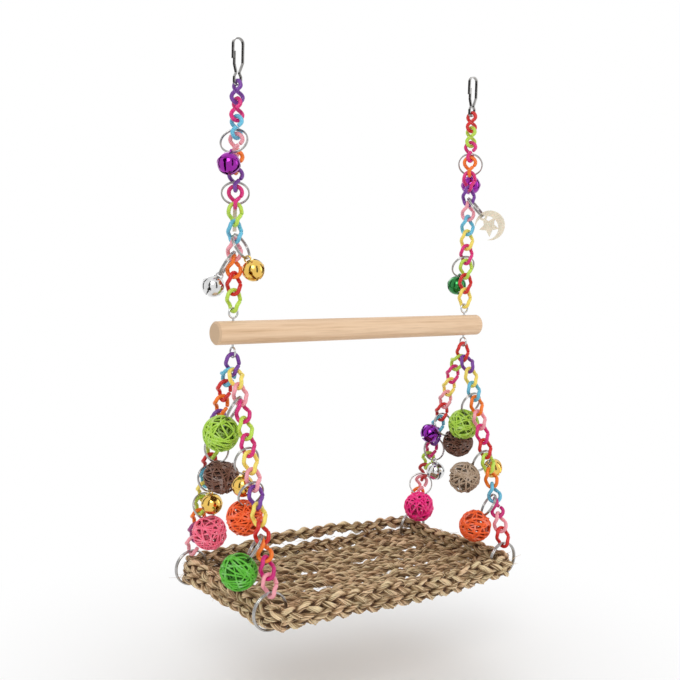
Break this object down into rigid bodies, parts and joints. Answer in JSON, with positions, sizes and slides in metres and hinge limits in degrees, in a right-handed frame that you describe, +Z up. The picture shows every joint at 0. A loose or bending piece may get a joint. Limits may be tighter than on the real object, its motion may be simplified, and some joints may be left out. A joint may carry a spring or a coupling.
{
  "type": "hanging bird swing",
  "caption": "Hanging bird swing: wooden perch on link chains from two snap hooks, braided seagrass mat slung below, with bells, vine balls and star charms on rings.",
  "frame": {"origin": "midway between the two snap hooks, on the line where their bights bear on a bar", "axes": "+X along the perch to the right, +Y to the back, +Z up"},
  "size_m": [0.3047, 0.15, 0.4466],
  "materials": {
    "hook_steel": "dark nickel strip",
    "purple_plastic": "moulded, soft gloss",
    "red_plastic": "moulded, soft gloss",
    "pink_plastic": "moulded, soft gloss, mixed with other colours along the chain",
    "orange_plastic": "moulded, soft gloss, mixed with other colours along the chain",
    "perch_wood": "smooth bare dowel",
    "eye_steel": "bright zinc wire",
    "yellow_plastic": "moulded, soft gloss, mixed with other colours along the chain",
    "blue_plastic": "moulded, soft gloss, mixed with other colours along the chain",
    "green_plastic": "moulded, soft gloss, mixed with other colours along the chain",
    "seagrass": "dry braided grass rope",
    "ring_steel": "bright nickel wire",
    "purple_bell": "coloured metallic lacquer",
    "cream_plastic": "glow-type cream plastic",
    "gold_bell": "bright gold plate",
    "silver_bell": "bright nickel plate",
    "green_bell": "coloured metallic lacquer",
    "lime_vine": "dyed vine strands",
    "orange_vine": "dyed vine strands",
    "green_vine": "dyed vine strands",
    "brown_vine": "dyed vine strands",
    "pink_vine": "dyed vine strands",
    "grey_vine": "dyed vine strands",
    "magenta_vine": "dyed vine strands"
  },
  "bodies": {
    "hooks": {"snap_hooks": "hook_steel"},
    "left_gate": {"left_hook_gate": "hook_steel"},
    "right_gate": {"right_hook_gate": "hook_steel"},
    "upper_left_first": {"upper_left_top_link": "purple_plastic"},
    "upper_right_first": {"upper_right_top_link": "red_plastic"},
    "upper_left_links": {"upper_left_chain": "pink_plastic"},
    "upper_right_links": {"upper_right_chain": "orange_plastic"},
    "perch": {"perch_dowel": "perch_wood", "screw_eyes": "eye_steel"},
    "lower_left_first": {"lower_left_top_link": "purple_plastic"},
    "lower_right_first": {"lower_right_top_link": "red_plastic"},
    "left_legs": {"front_left_chain": "yellow_plastic", "rear_left_chain": "blue_plastic"},
    "right_legs": {"front_right_chain": "pink_plastic", "rear_right_chain": "green_plastic"},
    "mat": {"mat_rim": "seagrass", "mat_floor": "seagrass", "corner_rings": "ring_steel"},
    "toy_upper_left_purple_bell": {"upper_left_purple_bell_ring": "ring_steel", "upper_left_purple_bell": "purple_bell"},
    "toy_upper_left_star_charm": {"upper_left_star_charm_ring": "ring_steel", "upper_left_star_charm": "cream_plastic"},
    "toy_upper_left_gold_bell": {"upper_left_gold_bell_ring": "ring_steel", "upper_left_gold_bell": "gold_bell"},
    "toy_upper_left_silver_bell": {"upper_left_silver_bell_ring": "ring_steel", "upper_left_silver_bell": "silver_bell"},
    "toy_upper_right_purple_bell": {"upper_right_purple_bell_ring": "ring_steel", "upper_right_purple_bell": "purple_bell"},
    "toy_upper_right_star_charm": {"upper_right_star_charm_ring": "ring_steel", "upper_right_star_charm": "cream_plastic"},
    "toy_upper_right_green_bell": {"upper_right_green_bell_ring": "ring_steel", "upper_right_green_bell": "green_bell"},
    "toy_front_left_lime_ball": {"front_left_lime_ball_ring": "ring_steel", "front_left_lime_ball": "lime_vine"},
    "toy_front_left_gold_bell": {"front_left_gold_bell_ring": "ring_steel", "front_left_gold_bell": "gold_bell"},
    "toy_front_left_orange_ball": {"front_left_orange_ball_ring": "ring_steel", "front_left_orange_ball": "orange_vine"},
    "toy_front_left_green_ball": {"front_left_green_ball_ring": "ring_steel", "front_left_green_ball": "green_vine"},
    "toy_rear_left_brown_ball": {"rear_left_brown_ball_ring": "ring_steel", "rear_left_brown_ball": "brown_vine"},
    "toy_rear_left_gold_bell": {"rear_left_gold_bell_ring": "ring_steel", "rear_left_gold_bell": "gold_bell"},
    "toy_rear_left_pink_ball": {"rear_left_pink_ball_ring": "ring_steel", "rear_left_pink_ball": "pink_vine"},
    "toy_front_right_lime_ball": {"front_right_lime_ball_ring": "ring_steel", "front_right_lime_ball": "lime_vine"},
    "toy_front_right_grey_ball": {"front_right_grey_ball_ring": "ring_steel", "front_right_grey_ball": "grey_vine", "front_right_gold_bell": "gold_bell"},
    "toy_front_right_orange_ball": {"front_right_orange_ball_ring": "ring_steel", "front_right_orange_ball": "orange_vine"},
    "toy_rear_right_brown_ball": {"rear_right_brown_ball_ring": "ring_steel", "rear_right_brown_ball": "brown_vine", "rear_right_plum_bell": "purple_bell"},
    "toy_rear_right_silver_bell": {"rear_right_silver_bell_ring": "ring_steel", "rear_right_silver_bell": "silver_bell"},
    "toy_rear_right_magenta_ball": {"rear_right_magenta_ball_ring": "ring_steel", "rear_right_magenta_ball": "magenta_vine"}
  },
  "joints": [
    {"name": "chain_swing", "type": "hinge", "parent": "hooks", "child": "upper_left_first", "pos_m": [-0.1235, 0, -0.0346], "axis": [1, 0, 0], "range_deg": [-16, 16]},
    {"name": "chain_swing_right", "type": "hinge", "parent": "hooks", "child": "upper_right_first", "pos_m": [0.1235, 0, -0.0346], "axis": [1, 0, 0], "range_deg": [-16, 16]},
    {"name": "chain_sway", "type": "hinge", "parent": "upper_left_first", "child": "upper_left_links", "pos_m": [-0.1235, 0, -0.04458], "axis": [0, 1, 0], "range_deg": [-16, 16]},
    {"name": "chain_sway_right", "type": "hinge", "parent": "upper_right_first", "child": "upper_right_links", "pos_m": [0.1235, 0, -0.04458], "axis": [0, 1, 0], "range_deg": [-16, 16]},
    {"name": "perch_level", "type": "hinge", "parent": "upper_left_links", "child": "perch", "pos_m": [-0.1235, 0, -0.20823], "axis": [0, 1, 0], "range_deg": [-16, 16]},
    {"name": "mat_swing", "type": "hinge", "parent": "perch", "child": "lower_left_first", "pos_m": [-0.1235, 0, -0.24163], "axis": [1, 0, 0], "range_deg": [-16, 16]},
    {"name": "mat_swing_right", "type": "hinge", "parent": "perch", "child": "lower_right_first", "pos_m": [0.1235, 0, -0.24163], "axis": [1, 0, 0], "range_deg": [-16, 16]},
    {"name": "mat_sway", "type": "hinge", "parent": "lower_left_first", "child": "left_legs", "pos_m": [-0.1235, 0, -0.25843], "axis": [0, 1, 0], "range_deg": [-9, 9]},
    {"name": "mat_sway_right", "type": "hinge", "parent": "lower_right_first", "child": "right_legs", "pos_m": [0.1235, 0, -0.25843], "axis": [0, 1, 0], "range_deg": [-9, 9]},
    {"name": "mat_level", "type": "hinge", "parent": "left_legs", "child": "mat", "pos_m": [-0.1235, 0, -0.41895], "axis": [0, 1, 0], "range_deg": [-9, 9]},
    {"name": "gate_left_open", "type": "hinge", "parent": "hooks", "child": "left_gate", "pos_m": [-0.1249, 0, -0.02533], "axis": [0, 1, 0], "range_deg": [0, 18], "stiffness_Nm_per_rad": 0.05},
    {"name": "gate_right_open", "type": "hinge", "parent": "hooks", "child": "right_gate", "pos_m": [0.1221, 0, -0.02533], "axis": [0, 1, 0], "range_deg": [0, 18], "stiffness_Nm_per_rad": 0.05},
    {"name": "toy_upper_left_purple_bell_swing", "type": "hinge", "parent": "upper_left_links", "child": "toy_upper_left_purple_bell", "pos_m": [-0.1235, 0, -0.07638], "axis": [0.766, 0.6428, 0], "range_deg": [-10, 10]},
    {"name": "toy_upper_left_star_charm_swing", "type": "hinge", "parent": "upper_left_links", "child": "toy_upper_left_star_charm", "pos_m": [-0.1235, 0, -0.11643], "axis": [0.5, 0.866, 0], "range_deg": [-10, 10]},
    {"name": "toy_upper_left_gold_bell_swing", "type": "hinge", "parent": "upper_left_links", "child": "toy_upper_left_gold_bell", "pos_m": [-0.1235, 0, -0.15648], "axis": [-0.5736, 0.8192, 0], "range_deg": [-10, 10]},
    {"name": "toy_upper_left_silver_bell_swing", "type": "hinge", "parent": "upper_left_links", "child": "toy_upper_left_silver_bell", "pos_m": [-0.1235, 0, -0.16983], "axis": [-0.766, 0.6428, 0], "range_deg": [-10, 10]},
    {"name": "toy_upper_right_purple_bell_swing", "type": "hinge", "parent": "upper_right_links", "child": "toy_upper_right_purple_bell", "pos_m": [0.1235, 0, -0.07638], "axis": [0.7547, 0.6561, 0], "range_deg": [-10, 10]},
    {"name": "toy_upper_right_star_charm_swing", "type": "hinge", "parent": "upper_right_links", "child": "toy_upper_right_star_charm", "pos_m": [0.1235, 0, -0.11643], "axis": [-0.5736, 0.8192, 0], "range_deg": [-10, 10]},
    {"name": "toy_upper_right_green_bell_swing", "type": "hinge", "parent": "upper_right_links", "child": "toy_upper_right_green_bell", "pos_m": [0.1235, 0, -0.16983], "axis": [0.2588, 0.9659, 0], "range_deg": [-10, 10]},
    {"name": "toy_front_left_lime_ball_swing", "type": "hinge", "parent": "left_legs", "child": "toy_front_left_lime_ball", "pos_m": [-0.1235, -0.01587, -0.28157], "axis": [-0.6428, 0.7233, -0.2523], "range_deg": [-10, 10]},
    {"name": "toy_front_left_gold_bell_swing", "type": "hinge", "parent": "left_legs", "child": "toy_front_left_gold_bell", "pos_m": [-0.1235, -0.02905, -0.31938], "axis": [-0.0349, 0.9436, -0.3291], "range_deg": [-10, 10]},
    {"name": "toy_front_left_orange_ball_swing", "type": "hinge", "parent": "left_legs", "child": "toy_front_left_orange_ball", "pos_m": [-0.1235, -0.03785, -0.34459], "axis": [0, 0.9442, -0.3293], "range_deg": [-10, 10]},
    {"name": "toy_front_left_green_ball_swing", "type": "hinge", "parent": "left_legs", "child": "toy_front_left_green_ball", "pos_m": [-0.1235, -0.05103, -0.38241], "axis": [-0.848, 0.5004, -0.1745], "range_deg": [-10, 10]},
    {"name": "toy_rear_left_brown_ball_swing", "type": "hinge", "parent": "left_legs", "child": "toy_rear_left_brown_ball", "pos_m": [-0.1235, 0.02905, -0.31938], "axis": [0, 0.9442, 0.3293], "range_deg": [-10, 10]},
    {"name": "toy_rear_left_gold_bell_swing", "type": "hinge", "parent": "left_legs", "child": "toy_rear_left_gold_bell", "pos_m": [-0.1235, 0.03785, -0.34459], "axis": [0, 0.9442, 0.3293], "range_deg": [-10, 10]},
    {"name": "toy_rear_left_pink_ball_swing", "type": "hinge", "parent": "left_legs", "child": "toy_rear_left_pink_ball", "pos_m": [-0.1235, 0.04664, -0.3698], "axis": [0, 0.9442, 0.3293], "range_deg": [-10, 10]},
    {"name": "toy_front_right_lime_ball_swing", "type": "hinge", "parent": "right_legs", "child": "toy_front_right_lime_ball", "pos_m": [0.1235, -0.02026, -0.29417], "axis": [0, 0.9442, -0.3293], "range_deg": [-10, 10]},
    {"name": "toy_front_right_grey_ball_swing", "type": "hinge", "parent": "right_legs", "child": "toy_front_right_grey_ball", "pos_m": [0.1235, -0.03785, -0.34459], "axis": [0, 0.9442, -0.3293], "range_deg": [-10, 10]},
    {"name": "toy_front_right_orange_ball_swing", "type": "hinge", "parent": "right_legs", "child": "toy_front_right_orange_ball", "pos_m": [0.1235, -0.05103, -0.38241], "axis": [-0.848, 0.5004, -0.1745], "range_deg": [-10, 10]},
    {"name": "toy_rear_right_brown_ball_swing", "type": "hinge", "parent": "right_legs", "child": "toy_rear_right_brown_ball", "pos_m": [0.1235, 0.02905, -0.31938], "axis": [0, 0.9442, 0.3293], "range_deg": [-10, 10]},
    {"name": "toy_rear_right_silver_bell_swing", "type": "hinge", "parent": "right_legs", "child": "toy_rear_right_silver_bell", "pos_m": [0.1235, 0.03785, -0.34459], "axis": [0.2079, 0.9236, 0.3221], "range_deg": [-10, 10]},
    {"name": "toy_rear_right_magenta_ball_swing", "type": "hinge", "parent": "right_legs", "child": "toy_rear_right_magenta_ball", "pos_m": [0.1235, 0.05103, -0.38241], "axis": [0.7071, 0.6677, 0.2329], "range_deg": [-4, 10]}
  ],
  "couplings": [
    {"joint": "chain_swing_right", "follows": "chain_swing", "ratio": 1},
    {"joint": "chain_sway_right", "follows": "chain_sway", "ratio": 1},
    {"joint": "perch_level", "follows": "chain_sway", "ratio": -1},
    {"joint": "mat_swing_right", "follows": "mat_swing", "ratio": 1},
    {"joint": "mat_sway_right", "follows": "mat_sway", "ratio": 1},
    {"joint": "mat_level", "follows": "mat_sway", "ratio": -1}
  ]
}
